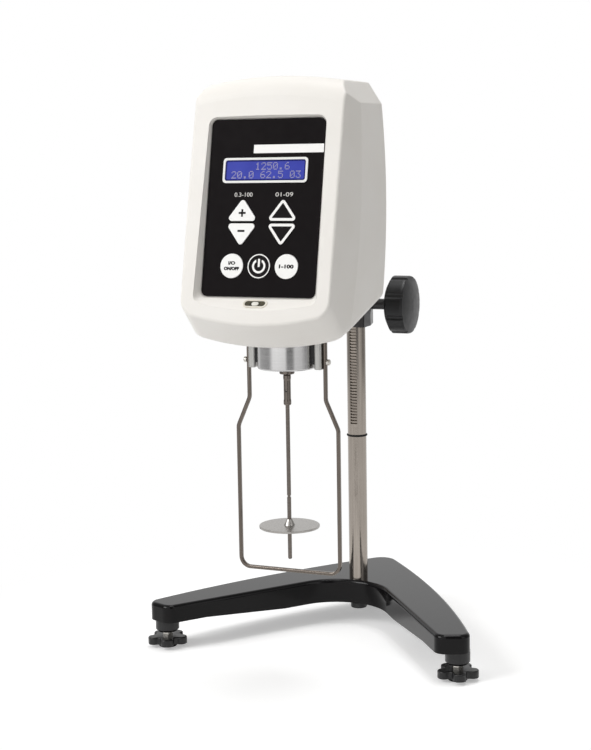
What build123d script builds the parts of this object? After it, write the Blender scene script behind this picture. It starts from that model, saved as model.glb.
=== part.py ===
from build123d import *
import os
from math import atan, cos, degrees, pi, radians, sin, sqrt, tan

# Bench rotational viscometer: a measuring head slides on a rack-and-pinion column over a V-shaped
# levelling base, and turns a disc spindle inside a guard leg.
# Millimetres, +Z up. The origin is on the bench under the middle of the instrument; the keypad
# faces -Y. Every piece of the head is drawn about the spindle axis (X = Y = 0) and then moved there.

# ---------------------------------------------------------------- driving dimensions
SPINDLE_Y = -80.0           # spindle axis, in front of the origin
COLUMN_Y = 70.5             # column axis, behind the origin
RUN = 0.05                  # radial clearance of a running fit
FIT = 0.04                  # radial clearance of a shaft or plug that is held fast
GAP = 0.3                   # gap between moving faces

# base casting
BASE_TOP = 39.3
HUB_BOTTOM = 19.3
LEG_BOTTOM = 24.5
FOOT_X = 125.7
FRONT_FOOT_Y = -48.5
REAR_FOOT_Y = 124.0
LEG_END_OUT = (14.3, -9.5)  # outer front corner of a leg, from its foot
LEG_END_IN = (-10.7, -19.0)  # inner front corner of a leg, from its foot
LEG_END_R = 9.0
LEG_BULGE = 9.0             # outward bow of a leg's outer edge
REAR_APEX = 80.0            # corner of the two outer edges, behind the column axis
REAR_R = 14.0
CROTCH_APEX = 18.5          # corner of the two inner edges, behind the column axis
CROTCH_R = 45.0
BASE_EDGE_R = 3.0
HUB_FRONT = -48.0           # the hub's full depth starts here, from the column axis
HUB_REAR = 30.0

# column and its fastening
COLUMN_R = 8.0
COLUMN_TOP = 405.0
SOCKET_FLOOR = 27.0
RING_Z = 165.0              # rubber stop ring
RING_R = 0.9
COLUMN_BOLT_R = 4.0
COLUMN_BOLT_HEAD_R = 7.0
COLUMN_BOLT_HEAD = 5.0
WASHER = 1.6

# rack and pinion
MODULE = 0.8
PINION_TEETH = 18
PINION_Z = 279.3
RACK_BOTTOM = 172.0
RACK_TOP = 390.0
RACK_FLAT = 0.4             # depth of the milled flat
RACK_WIDTH = 6.0
PRESSURE_ANGLE = 20.0
BACKLASH = 0.08

# levelling feet
PAD_R = 7.5
PAD_H = 3.0
WHEEL_R = 16.2
WHEEL_H = 6.0
WHEEL_LOBES = 5
WHEEL_LOBE = 34.0           # angle that a lobe takes at the rim
WHEEL_NOTCH_R = 8.6
WHEEL_TIP_R = 4.2
WHEEL_TURN = -66.4
FOOT_NUT_R = 4.6
STUD_R = 3.0
COLLAR_R = 9.75
COLLAR_BOTTOM = 13.0
SPIGOT_R = 6.0
SPIGOT_TOP = 35.0
STUD_TOP = 31.0

# carriage on the column
BLOCK_BOTTOM = 260.5
BLOCK_TOP = 312.0
BLOCK_HALF = 16.8
BLOCK_FRONT_WALL = 3.5      # in front of the pinion
BLOCK_SHOULDER = -9.5
BLOCK_REAR_WALL = 5.0       # behind the column
BLOCK_REAR_HALF = 11.0
BUSH_WALL = 2.2
BUSH_LEN = 10.0
PINION_CLEARANCE = 0.5      # round the pinion in its cavity
ARM_Z = 300.0
ARM_R = 6.0
ARM_IN_BLOCK = 13.0
BRAKE_R = 3.0
BRAKE_SCREW = 3.4
GRIP_SCREW_R = 2.5

# pinion shaft and hand knob
SHAFT_R = 4.5
SHAFT_TAIL_R = 3.0
KNOB_BACK = 37.0
KNOB_HUB = 3.0
KNOB_HUB_R = 9.5
KNOB_BORE = 11.0
KNOB_GROOVE_R = 2.2
KNOB_GROOVE = 1.5           # depth of the grooves between the lobes
KNOB_EDGE = 3.0
KNOB_RIM = 17.5
KNOB_DOME = 2.0
KNOB_R = 24.0
KNOB_LOBES = 8

# head housing
WALL = 2.8
FACE_Z = 301.3              # height at which the leaning faces are placed
FACE_Y = -59.0
FACE_LEAN = 13.4
CREASE_HALF = 59.8
CREASE_BOTTOM = 281.8
CREASE_SWEEP = 201.0
CREASE_CORNER = 14.0
SIDE_Y = -22.9
SIDE_LEAN = 7.2
SIDE_HALF = 67.4
SIDE_MID_Z = 370.0
SIDE_SWEEP = 816.0
BEVEL_BOTTOM = 252.0
BEVEL_CORNER = 12.0
HEAD_TOP = 461.7
TOP_SWEEP = 300.0
BROW_R = 19.0
FACET_X = 53.9
FACET_ANGLE = 57.3
UNDER_Y = -40.0
UNDER_Z = 262.2
UNDER_RISE = 16.2
UNDER_SWEEP = 250.0
HEAD_BACK = 40.0
TALL = 480.0                # any height above the head, for shapes that are trimmed later

# keypad recess and panel
PANEL_Y = -52.0
PANEL_LEAN = 12.0
PANEL_HALF = 45.2
PANEL_LEN = 131.5
PANEL_R = 4.3
PANEL_T = 1.2
PANEL_FLOOR = 2.6
RECESS_HALF_LOW = 49.3
RECESS_HALF_HIGH = 46.9
RECESS_LOW = -9.0           # along the face, from the panel's lower edge
RECESS_HIGH = 134.4
RECESS_R = 6.5

# display and keys, placed along the panel from its lower edge
LCD_S = 93.3
LCD_W = 67.4
LCD_H = 18.6
LCD_RIM = 1.6
LCD_R = 2.6
MODULE_W = 80.0
MODULE_H = 30.0
KEY_TRAVEL = 0.5
KEY_PROUD = 0.4
KEY_GAP = 0.3
KEY_FLANGE = 0.7
KEY_FLANGE_T = 1.2
ROUND_KEY_R = 9.0
ROUND_KEY_S = 22.6
ROUND_KEY_PITCH = 21.8
ARROW_X = 16.1
ARROW_W = 20.8
ARROW_H = 15.4
ARROW_UP_S = 55.9
ARROW_DOWN_S = 54.0
ARROW_R = 2.2
BOARD_T = 1.6
KEY_BOARD_DEPTH = 7.0       # from the recess floor's back to the board
SWITCH_R = 3.0
SWITCH_H = 2.4
STEM_R = 2.0
LEVEL_LEN = 19.0
LEVEL_H = 7.6
LEVEL_RIM = 1.3
LEVEL_DEPTH = 3.0

# chassis and drive inside the head
CHASSIS_Z = 296.0
CHASSIS_T = 3.0
CHASSIS_FRONT = -20.0
CHASSIS_BACK = 34.0
CHASSIS_TOP = 436.0
BACK_HALF = 46.0
SHELF_Z = 330.0
SHELF_HALF = 38.0
SHELF_REACH = 20.0
ARM_BOSS_R = 11.0
CUP_CLEARANCE = 0.6
CUP_R = 22.4
CUP_BOTTOM = 242.5
CUP_WALL = 3.2
CUP_FLOOR = 3.5
PIVOT_R = 2.0
PIVOT_BOTTOM = 228.0
BEARING_R = 4.0
BEARING_FLANGE_R = 5.85
BEARING_FLANGE = 4.5
PIVOT_TOP = 336.0
GEAR_MODULE = 0.8
DRIVE_TEETH = 40
MOTOR_TEETH = 12
GEAR_Z = 316.0              # underside of the drive gear
GEAR_T = 4.0
SLEEVE_R = 6.0
SLEEVE_LEN = 14.0
CAGE_R = 14.0
CAGE_WALL = 1.5
CAGE_DEPTH = 11.0
SPRING_HUB_R = 4.4
SPRING_T = 0.4
SPRING_STEP = 0.55
SPRING_ARCS = 8
SPRING_H = 2.6
MOTOR_R = 14.0
MOTOR_SHAFT_R = 1.5
GEARBOX_LEN = 16.0
MOTOR_LEN = 34.0
REAR_COVER_T = 3.0
REAR_COVER_Y = 36.5
INLET_X = 32.0
INLET_Z = 318.0
INLET_W = 27.0
INLET_H = 20.0
INLET_WALL = 1.4
INLET_DEPTH = 15.0
INLET_FLANGE = 2.0
PIN_W = 2.0
PIN_H = 4.0
BOARD_Y = 24.0
VENT_ROWS = 7
VENT_PITCH = 7.0

# guard leg and its lugs
LEG_T = 2.8
LEG_W = 3.6
LEG_EDGE = 1.0
LEG_TOP = 268.0
LEG_KINK_Z = 218.6
LEG_WIDE_X = 41.6
LEG_WIDE_Z = 196.1
LEG_BOTTOM_Z = 83.7
LEG_BEND = 8.0
LUG_PAD = 2.0
LUG_T = 5.9
LUG_W = 11.0
LUG_EDGE = 1.6
GUARD_SCREW_Z = 248.0
GUARD_SCREW_R = 1.0
GUARD_SCREW_HEAD_R = 2.3
GUARD_SCREW_HEAD = 2.5

# spindle
COUPLING_R = 3.0
COUPLING_BOTTOM = 214.0
COUPLING_TOP = 237.5
CROSS_HOLE_Z = 225.0
CROSS_HOLE_R = 1.0
SPINDLE_R = 1.59
SPINDLE_TIP = 92.6
SPINDLE_TOP = 222.0
DISC_R = 23.465
DISC_Z = 119.0
DISC_T = 1.65
DISC_HUB_R = 4.4
DISC_HUB_TOP = 124.5
GROOVE_Z = 142.5
GROOVE_R = 1.15

# what follows from the sizes above
LUG_IN = CUP_R + LUG_PAD
ARM_BOSS_LEN = CHASSIS_BACK - CUP_R - CUP_CLEARANCE
LUG_OUT = LUG_IN + LUG_T
LEG_X = LUG_OUT + LEG_T / 2
face_plane = Plane(
    origin=(0, FACE_Y, FACE_Z),
    x_dir=(1, 0, 0),
    z_dir=(0, -cos(radians(FACE_LEAN)), sin(radians(FACE_LEAN))),
)
side_plane = Plane(
    origin=(0, SIDE_Y, FACE_Z),
    x_dir=(1, 0, 0),
    z_dir=(0, -cos(radians(SIDE_LEAN)), sin(radians(SIDE_LEAN))),
)
# the recess floor: local X to the right, Y up along the panel, Z towards the user
panel_plane = Plane(
    origin=(0, PANEL_Y, FACE_Z),
    x_dir=(1, 0, 0),
    z_dir=(0, -cos(radians(PANEL_LEAN)), sin(radians(PANEL_LEAN))),
)


def save(name, shape, at=(0, 0, 0)):
    """Write one named piece, moved from its own axis to its place."""
    os.makedirs("parts", exist_ok=True)
    solids = [Pos(*at) * s for s in shape.solids()]
    export_step(Compound(children=solids) if len(solids) > 1 else solids[0], f"parts/{name}.step")


def disc(radius, z0, z1, at=(0, 0)):
    """Upright cylinder between two heights."""
    return Pos(at[0], at[1], (z0 + z1) / 2) * Cylinder(radius, z1 - z0)


def bar_x(radius, x0, x1, y, z):
    """Cylinder along X between two places."""
    return Pos((x0 + x1) / 2, y, z) * Rot(0, 90, 0) * Cylinder(radius, x1 - x0)


def bar_y(radius, y0, y1, x, z):
    """Cylinder along Y between two places."""
    return Pos(x, (y0 + y1) / 2, z) * Rot(90, 0, 0) * Cylinder(radius, y1 - y0)


def block(x0, x1, y0, y1, z0, z1):
    """Box between two corners."""
    return Pos((x0 + x1) / 2, (y0 + y1) / 2, (z0 + z1) / 2) * Box(x1 - x0, y1 - y0, z1 - z0)


def revolved(points):
    """Solid of revolution about Z from (radius, height) points."""
    return revolve(make_face(Plane.XZ * Polyline(*points, close=True)), Axis.Z)


# ---------------------------------------------------------------- stand
FEET = ((-FOOT_X, FRONT_FOOT_Y), (FOOT_X, FRONT_FOOT_Y), (0.0, REAR_FOOT_Y))


def base_outline():
    """Plan of the V base: straight inner edges, bowed outer edges, rounded ends."""
    out = (FOOT_X + LEG_END_OUT[0], FRONT_FOOT_Y + LEG_END_OUT[1])
    inn = (FOOT_X + LEG_END_IN[0], FRONT_FOOT_Y + LEG_END_IN[1])
    crotch = (0, COLUMN_Y + CROTCH_APEX)
    apex = (0, COLUMN_Y + REAR_APEX)
    right_bow = SagittaArc(out, apex, -LEG_BULGE)
    left_bow = SagittaArc(apex, (-out[0], out[1]), -LEG_BULGE)
    inner = Polyline((-out[0], out[1]), (-inn[0], inn[1]), crotch, inn, out)
    face = make_face([right_bow, left_bow, inner])
    by_y = face.vertices().sort_by(Axis.Y)
    face = fillet(by_y[:4], LEG_END_R)
    face = fillet(face.vertices().sort_by(Axis.Y)[-1], REAR_R)
    centre = [v for v in face.vertices() if abs(v.X) < 0.01]
    return fillet(centre, CROTCH_R)


def base_casting():
    """V-shaped casting, deeper at the hub than at the three foot bosses."""
    body = extrude(Pos(0, 0, HUB_BOTTOM) * base_outline(), BASE_TOP - HUB_BOTTOM)
    front, rear = COLUMN_Y + HUB_FRONT, COLUMN_Y + HUB_REAR
    rise = LEG_BOTTOM - HUB_BOTTOM
    far = FOOT_X * 2
    under = Polyline(
        (FRONT_FOOT_Y + COLLAR_R, LEG_BOTTOM), (front, HUB_BOTTOM), (rear, HUB_BOTTOM),
        (REAR_FOOT_Y - COLLAR_R, LEG_BOTTOM), (far, LEG_BOTTOM), (far, HUB_BOTTOM - rise),
        (-far, HUB_BOTTOM - rise), (-far, LEG_BOTTOM), close=True,
    )
    body -= extrude(Plane.YZ * make_face(under), far, both=True)
    body = fillet(body.faces().sort_by(Axis.Z)[-1].edges(), BASE_EDGE_R)
    column_at = (0, COLUMN_Y)
    body -= disc(COLUMN_R + FIT, SOCKET_FLOOR, BASE_TOP, column_at)
    body -= disc(COLUMN_BOLT_R + FIT, HUB_BOTTOM, SOCKET_FLOOR, column_at)
    for at in FEET:
        body -= disc(SPIGOT_R + FIT, LEG_BOTTOM, SPIGOT_TOP, at)
    return body


def column():
    """Round column with a milled rack on its front and a tapped foot."""
    body = chamfer(disc(COLUMN_R, SOCKET_FLOOR, COLUMN_TOP).edges().sort_by(Axis.Z)[-1], 1.0)
    body -= disc(COLUMN_BOLT_R + FIT, SOCKET_FLOOR, SOCKET_FLOOR + 26)
    body -= Pos(0, 0, RING_Z) * Torus(COLUMN_R, RING_R + FIT)
    land = -COLUMN_R + RACK_FLAT
    body -= block(-COLUMN_R, COLUMN_R, -COLUMN_R - 1, land, RACK_BOTTOM, RACK_TOP)
    pitch = pi * MODULE
    slope = tan(radians(PRESSURE_ANGLE))
    mouth = pitch / 4 + MODULE * slope
    root = pitch / 4 - 1.25 * MODULE * slope
    depth = 2.25 * MODULE
    groove = Polyline((land - 1, mouth + slope), (land + depth, root), (land + depth, -root),
                      (land - 1, -mouth - slope), close=True)
    cutter = extrude(Plane.YZ * make_face(groove), RACK_WIDTH / 2, both=True)
    first = -int((PINION_Z - RACK_BOTTOM - pitch) / pitch)
    last = int((RACK_TOP - PINION_Z - pitch) / pitch)
    body -= [Pos(0, 0, PINION_Z + k * pitch) * cutter for k in range(first, last + 1)]
    return body


def column_bolt():
    """Socket-head bolt that holds the column from below."""
    head_top = HUB_BOTTOM - WASHER
    head = chamfer(disc(COLUMN_BOLT_HEAD_R, head_top - COLUMN_BOLT_HEAD, head_top).edges(), 0.5)
    head -= extrude(Pos(0, 0, head_top - COLUMN_BOLT_HEAD) * RegularPolygon(3.4, 6), 2.5)
    return head + disc(COLUMN_BOLT_R, head_top, SOCKET_FLOOR + 18)


def foot_collar():
    """Black threaded collar that hangs under a leg on its spigot."""
    body = chamfer(disc(COLLAR_R, COLLAR_BOTTOM, LEG_BOTTOM).edges().sort_by(Axis.Z)[0], 2.0)
    body += disc(SPIGOT_R, LEG_BOTTOM, SPIGOT_TOP)
    return body - disc(STUD_R + RUN, COLLAR_BOTTOM, STUD_TOP + 1.5)


def foot_wheel():
    """Lobed thumb wheel of a levelling foot, with one lobe turned to the front right."""
    star = []
    for lobe in range(WHEEL_LOBES):
        middle = WHEEL_TURN + 360 * lobe / WHEEL_LOBES
        notch = middle + 180 / WHEEL_LOBES
        for radius, angle in ((WHEEL_R * 1.06, middle - WHEEL_LOBE / 2),
                              (WHEEL_R * 1.06, middle + WHEEL_LOBE / 2), (WHEEL_NOTCH_R, notch)):
            star.append((radius * cos(radians(angle)), radius * sin(radians(angle))))
    outline = make_face(Polyline(*star, close=True))
    tips = [v for v in outline.vertices() if Vector(v.X, v.Y).length > WHEEL_R]
    outline = fillet(tips, WHEEL_TIP_R)
    notches = [v for v in outline.vertices() if Vector(v.X, v.Y).length < WHEEL_NOTCH_R + 0.1]
    outline = fillet(notches, 3.0)
    body = extrude(Pos(0, 0, PAD_H) * outline, WHEEL_H)
    body = fillet(body.edges().filter_by(lambda e: e.center().Z > PAD_H + WHEEL_H - 0.01), 1.2)
    return body - disc(STUD_R + FIT, PAD_H, PAD_H + WHEEL_H)


def foot_stud():
    """Threaded stud with the nut that locks it to the thumb wheel."""
    nut_z = PAD_H + WHEEL_H
    body = disc(STUD_R, PAD_H / 2, STUD_TOP)
    body = chamfer(body.edges(), 0.5)
    return body + extrude(Pos(0, 0, nut_z) * RegularPolygon(FOOT_NUT_R, 6), COLLAR_BOTTOM - GAP - nut_z)


def foot_pad():
    """Rubber pad that stays still while the stud turns in it."""
    body = fillet(disc(PAD_R, 0, PAD_H).edges().sort_by(Axis.Z)[0], 0.6)
    return body - disc(STUD_R + 0.1, PAD_H / 2 - GAP, PAD_H)


# ---------------------------------------------------------------- carriage
PINION_PITCH_R = PINION_TEETH * MODULE / 2
PINION_Y = -COLUMN_R + RACK_FLAT + MODULE - PINION_PITCH_R  # from the column axis
PINION_BORE_R = PINION_PITCH_R + MODULE + PINION_CLEARANCE
BLOCK_FRONT = PINION_Y - PINION_BORE_R - BLOCK_FRONT_WALL
BLOCK_REAR = COLUMN_R + BLOCK_REAR_WALL
BUSH_R = COLUMN_R + BUSH_WALL


def gear_outline(teeth, module, start):
    """Involute gear profile with one tooth on the local X axis turned by start degrees."""
    pitch_r = teeth * module / 2
    base_r = pitch_r * cos(radians(PRESSURE_ANGLE))
    tip_r = pitch_r + module
    root_r = pitch_r - 1.25 * module

    def involute(radius):
        k = sqrt(max((radius / base_r) ** 2 - 1, 0))
        return k - atan(k)

    half = pi / (2 * teeth) - BACKLASH / (2 * pitch_r) + involute(pitch_r)
    low = max(base_r, root_r)
    flank = [low + (tip_r - low) * k / 3 for k in range(4)]
    points = []
    for tooth in range(teeth):
        mid = radians(start) + 2 * pi * tooth / teeth
        right = [(r, mid - half + involute(r)) for r in flank]
        left = [(r, mid + half - involute(r)) for r in reversed(flank)]
        for r, a in [(root_r, mid - half)] + right + left + [(root_r, mid + half)]:
            points.append((r * cos(a), r * sin(a)))
    return make_face(Polyline(*points, close=True))


def clamp_block():
    """Carriage that slides on the column and holds the pinion and the head's arm."""
    plan = Polyline(
        (-BLOCK_HALF, BLOCK_FRONT), (BLOCK_HALF, BLOCK_FRONT), (BLOCK_HALF, BLOCK_SHOULDER),
        (BLOCK_REAR_HALF, BLOCK_REAR), (-BLOCK_REAR_HALF, BLOCK_REAR),
        (-BLOCK_HALF, BLOCK_SHOULDER), close=True,
    )
    body = extrude(Pos(0, 0, BLOCK_BOTTOM) * make_face(plan), BLOCK_TOP - BLOCK_BOTTOM)
    body = fillet(body.edges().filter_by(Axis.Z), 1.5)
    body -= disc(COLUMN_R + GAP, BLOCK_BOTTOM, BLOCK_TOP)
    for z in (BLOCK_BOTTOM, BLOCK_TOP - BUSH_LEN):
        body -= disc(BUSH_R, z, z + BUSH_LEN)
    body -= bar_x(PINION_BORE_R, -RACK_WIDTH / 2 - GAP, BLOCK_HALF, PINION_Y, PINION_Z)
    body -= bar_x(SHAFT_TAIL_R + RUN, -BLOCK_HALF, 0, PINION_Y, PINION_Z)
    body -= bar_y(ARM_R + FIT, BLOCK_FRONT, BLOCK_FRONT + ARM_IN_BLOCK, 0, ARM_Z)
    body -= disc(GRIP_SCREW_R, ARM_Z, BLOCK_TOP, (0, BLOCK_FRONT + ARM_IN_BLOCK / 2))
    return body - bar_y(BRAKE_R, COLUMN_R - 1, BLOCK_REAR, 0, PINION_Z)


def column_bushes():
    """Two plain bushes that guide the carriage on the column."""
    pair = []
    for z in (BLOCK_BOTTOM, BLOCK_TOP - BUSH_LEN):
        bush = disc(BUSH_R - FIT, z, z + BUSH_LEN) - disc(COLUMN_R + RUN, z, z + BUSH_LEN)
        pair.append(bush)
    return Compound(children=pair)


def pinion_shaft():
    """Shaft from the knob through the carriage, turned down at its far end."""
    step = -RACK_WIDTH / 2 - GAP
    body = bar_x(SHAFT_R, RACK_WIDTH / 2 - GAP, KNOB_BACK + KNOB_BORE, 0, 0)
    return body + bar_x(SHAFT_TAIL_R, -BLOCK_HALF - 2, RACK_WIDTH / 2 - GAP, 0, 0)


def pinion():
    """Pinion that climbs the rack, with one tooth pointing straight back into it."""
    half = RACK_WIDTH / 2 - GAP
    wheel = extrude(gear_outline(PINION_TEETH, MODULE, 0.0), half, both=True)
    wheel -= Cylinder(SHAFT_TAIL_R + FIT, RACK_WIDTH)
    # local X becomes +Y, local Z becomes +X
    return Plane(origin=(0, 0, 0), x_dir=(0, 1, 0), z_dir=(1, 0, 0)) * wheel


def knob():
    """Lobed hand knob: eight broad lobes parted by narrow grooves, a shallow dome and a hub."""
    outline = Circle(KNOB_R)
    for at in PolarLocations(KNOB_R - KNOB_GROOVE + KNOB_GROOVE_R, KNOB_LOBES, start_angle=22.5):
        outline -= at * Circle(KNOB_GROOVE_R)
    outline = fillet(outline.vertices(), 1.4)
    body = extrude(outline, KNOB_RIM + KNOB_DOME)
    top, face_r = KNOB_RIM + KNOB_DOME, KNOB_R - KNOB_EDGE
    dome_r = (face_r**2 + KNOB_DOME**2) / (2 * KNOB_DOME)
    body &= Pos(0, 0, top - dome_r) * Sphere(dome_r)
    profile = make_face(Plane.XZ * Polyline((0, 0), (face_r - 2, 0), (KNOB_R, KNOB_EDGE),
                                            (KNOB_R, KNOB_RIM - KNOB_EDGE), (KNOB_R, top),
                                            (0, top), close=True))
    shoulder = revolve(profile, Axis.Z)
    rim = shoulder.edges().sort_by(Axis.Z)[-1]
    body &= fillet(rim, KNOB_EDGE + KNOB_DOME)
    body += disc(KNOB_HUB_R, -KNOB_HUB, 0)
    body -= disc(SHAFT_R + FIT, -KNOB_HUB, KNOB_BORE)
    return Pos(KNOB_BACK, 0, 0) * Rot(0, 90, 0) * body


# ---------------------------------------------------------------- head housing
def barrel(z, inset=0.0):
    """Half-width of the bowed side faces at a height."""
    return SIDE_HALF - inset - SIDE_SWEEP + sqrt(SIDE_SWEEP**2 - (z - SIDE_MID_Z) ** 2)


def front_section(inset):
    """Outline of the front face in its own leaning plane."""
    lean = cos(radians(FACE_LEAN))
    half, sweep = CREASE_HALF - inset, CREASE_SWEEP - inset
    low = (CREASE_BOTTOM + inset - FACE_Z) / lean
    side = low + sweep - sqrt(sweep**2 - half**2)
    top = (TALL - FACE_Z) / lean
    face = make_face([
        ThreePointArc((-half, side), (0, low), (half, side)),
        Polyline((half, side), (half, top), (-half, top), (-half, side)),
    ])
    return fillet(face.vertices().sort_by(Axis.Y)[:2], CREASE_CORNER - inset)


def side_section(inset):
    """Outline where the front facets meet the bowed side faces."""
    lean = cos(radians(SIDE_LEAN))
    sweep = CREASE_SWEEP - inset
    low_z = BEVEL_BOTTOM + inset
    corner_z = low_z + sweep - sqrt(sweep**2 - barrel(low_z, inset) ** 2)
    low, corner = barrel(corner_z, inset), (corner_z - FACE_Z) / lean
    mid, top = (SIDE_MID_Z - FACE_Z) / lean, (TALL - FACE_Z) / lean
    wide, high = SIDE_HALF - inset, barrel(TALL, inset)
    face = make_face([
        ThreePointArc((-high, top), (-wide, mid), (-low, corner)),
        ThreePointArc((-low, corner), (0, (low_z - FACE_Z) / lean), (low, corner)),
        ThreePointArc((low, corner), (wide, mid), (high, top)),
        Line((high, top), (-high, top)),
    ])
    return fillet(face.vertices().sort_by(Axis.Y)[:2], BEVEL_CORNER - inset)


def arc_height(x, centre_z, sweep, up):
    """Height at x of an arc over the head (up = 1) or under it (up = -1)."""
    return centre_z - up * (sweep - sqrt(sweep**2 - x * x))


def head_form(inset=0.0, back=HEAD_BACK, face_inset=None):
    """Closed form of the head, or the same form pulled in by a wall all round."""
    wide = SIDE_HALF + 20
    face_inset = inset if face_inset is None else face_inset
    front_at = face_plane.offset(-face_inset)
    seam = side_plane * side_section(inset)
    form = loft([front_at * front_section(inset), seam], ruled=True)
    form += extrude(seam, 2 * wide, dir=(0, 1, 0))
    # arched top, then the round brow where it meets the front face
    sweep, top = TOP_SWEEP - inset, HEAD_TOP - inset
    edge = arc_height(wide, top, sweep, 1)
    over = make_face([
        ThreePointArc((-wide, edge), (0, top), (wide, edge)),
        Polyline((wide, edge), (wide, 200), (-wide, 200), (-wide, edge)),
    ])
    form &= extrude(Plane.XZ.offset(100) * over, -100 - back)
    brow = form.edges().filter_by(
        lambda e: e.center().Z > top - 5 and e.center().Y < -10 and abs(e.center().X) < 5
    )
    form = fillet(brow, BROW_R - inset)
    # flat facets between the top and the sides
    angle = radians(FACET_ANGLE)
    along, away = (cos(angle), -sin(angle)), (sin(angle), cos(angle))
    x0 = FACET_X - inset * away[0]
    z0 = arc_height(FACET_X, HEAD_TOP, TOP_SWEEP, 1) - inset * away[1]
    for side in (-1, 1):
        corners = [
            (side * (x0 + along[0] * a + away[0] * b), z0 + along[1] * a + away[1] * b)
            for a, b in ((-60, 0), (60, 0), (60, 50), (-60, 50))
        ]
        facet = make_face(Polyline(*corners, close=True))
        form -= extrude(Plane.XZ.offset(100) * facet, -110 - back)
    # arched underside that rises towards the back
    rise = radians(UNDER_RISE)
    start = -100.0
    low = UNDER_Z + inset / cos(rise) + (start - UNDER_Y) * tan(rise)
    sweep = UNDER_SWEEP - inset
    edge = arc_height(wide, low, sweep, -1)
    below = make_face([
        ThreePointArc((-wide, edge), (0, low), (wide, edge)),
        Polyline((wide, edge), (wide, low - 120), (-wide, low - 120), (-wide, edge)),
    ])
    below = Plane(origin=(0, start, 0), x_dir=(1, 0, 0), z_dir=(0, -1, 0)) * below
    return form - extrude(below, (150 + back) / cos(rise), dir=(0, cos(rise), sin(rise)))


def lies_on(edge, plane, reach=0.5):
    """True when an edge lies in a leaning plane of the head."""
    return all(abs(plane.to_local_coords(edge @ t).Z) < reach for t in (0.1, 0.5, 0.9))


def soften(form):
    """Round the creases of the outer form as the moulding has them."""
    form = fillet(form.edges().filter_by(
        lambda e: lies_on(e, side_plane, 0.4) and abs(e.center().X) > 30), 4.0)
    form = fillet(form.edges().filter_by(
        lambda e: e.center().Y > -22 and e.center().Z < 290 and e.length > 30
        and abs(e.center().X) > 50), 7.0)
    form = fillet(form.edges().filter_by(
        lambda e: lies_on(e, face_plane) and e.center().Z < HEAD_TOP - 10
        and (abs(e.center().X) > 5 or e.center().Z < FACE_Z)), 2.5)
    return fillet(form.edges().filter_by(
        lambda e: e.center().Y > -22 and e.center().Z > 439 and e.length > 40
        and abs(e.center().X) > 50), 2.5)


def recess():
    """Pocket for the panel: a rounded mouth in the front face, narrowing to the flat floor."""
    corner = RECESS_LOW + 5.5
    mouth = make_face([
        ThreePointArc((-RECESS_HALF_LOW, corner), (0, RECESS_LOW), (RECESS_HALF_LOW, corner)),
        Line((RECESS_HALF_LOW, corner), (RECESS_HALF_HIGH, RECESS_HIGH)),
        ThreePointArc((RECESS_HALF_HIGH, RECESS_HIGH), (0, RECESS_HIGH + 0.8),
                      (-RECESS_HALF_HIGH, RECESS_HIGH)),
        Line((-RECESS_HALF_HIGH, RECESS_HIGH), (-RECESS_HALF_LOW, corner)),
    ])
    mouth = fillet(mouth.vertices(), RECESS_R)
    half, low, high = PANEL_HALF + 0.3, -0.3, PANEL_LEN + 0.3
    floor = make_face(Polyline((-half, low), (half, low), (half, high), (-half, high), close=True))
    floor = fillet(floor.vertices(), PANEL_R + 0.3)
    pocket = loft([panel_plane * floor, face_plane * mouth], ruled=True)
    return pocket + extrude(face_plane * mouth, 6)


def triangle_key(up, gap=0.0):
    """Rounded triangle on the panel, widened by gap all round."""
    base = ARROW_UP_S if up else ARROW_DOWN_S
    way = 1 if up else -1
    foot = base + way * ARROW_R
    tip = base + way * (ARROW_H - ARROW_R)
    half = ARROW_W / 2 - ARROW_R
    core = make_face(Polyline((-half, foot), (half, foot), (0, tip), close=True))
    return offset(core, ARROW_R + gap)


def key_faces(gap=0.0):
    """Outline of every key by name, in the panel's own plane."""
    faces = {
        "key_speed_up": Pos(-ARROW_X, 0) * triangle_key(True, gap),
        "key_speed_down": Pos(-ARROW_X, 0) * triangle_key(False, gap),
        "key_spindle_up": Pos(ARROW_X, 0) * triangle_key(True, gap),
        "key_spindle_down": Pos(ARROW_X, 0) * triangle_key(False, gap),
    }
    for column_no, name in enumerate(("key_motor", "key_power", "key_range")):
        x = (column_no - 1) * ROUND_KEY_PITCH
        faces[name] = Pos(x, ROUND_KEY_S) * Circle(ROUND_KEY_R + gap)
    return faces


def lcd_window(margin):
    """Rounded rectangle round the display, set in by a margin."""
    return Pos(0, LCD_S) * RectangleRounded(LCD_W - 2 * margin, LCD_H - 2 * margin, LCD_R - margin / 2)


def level_outline(margin):
    """Oval of the level's window on the sloping ledge."""
    return SlotOverall(LEVEL_LEN - 2 * margin, LEVEL_H - 2 * margin)


mouth_low = face_plane.from_local_coords((0, RECESS_LOW, 0))
floor_low = panel_plane.from_local_coords((0, -0.3, 0))
ledge_dir = (floor_low - mouth_low).normalized()
ledge_plane = Plane(
    origin=(mouth_low + floor_low) * 0.5,
    x_dir=(1, 0, 0),
    z_dir=Vector(1, 0, 0).cross(ledge_dir),
)


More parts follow.
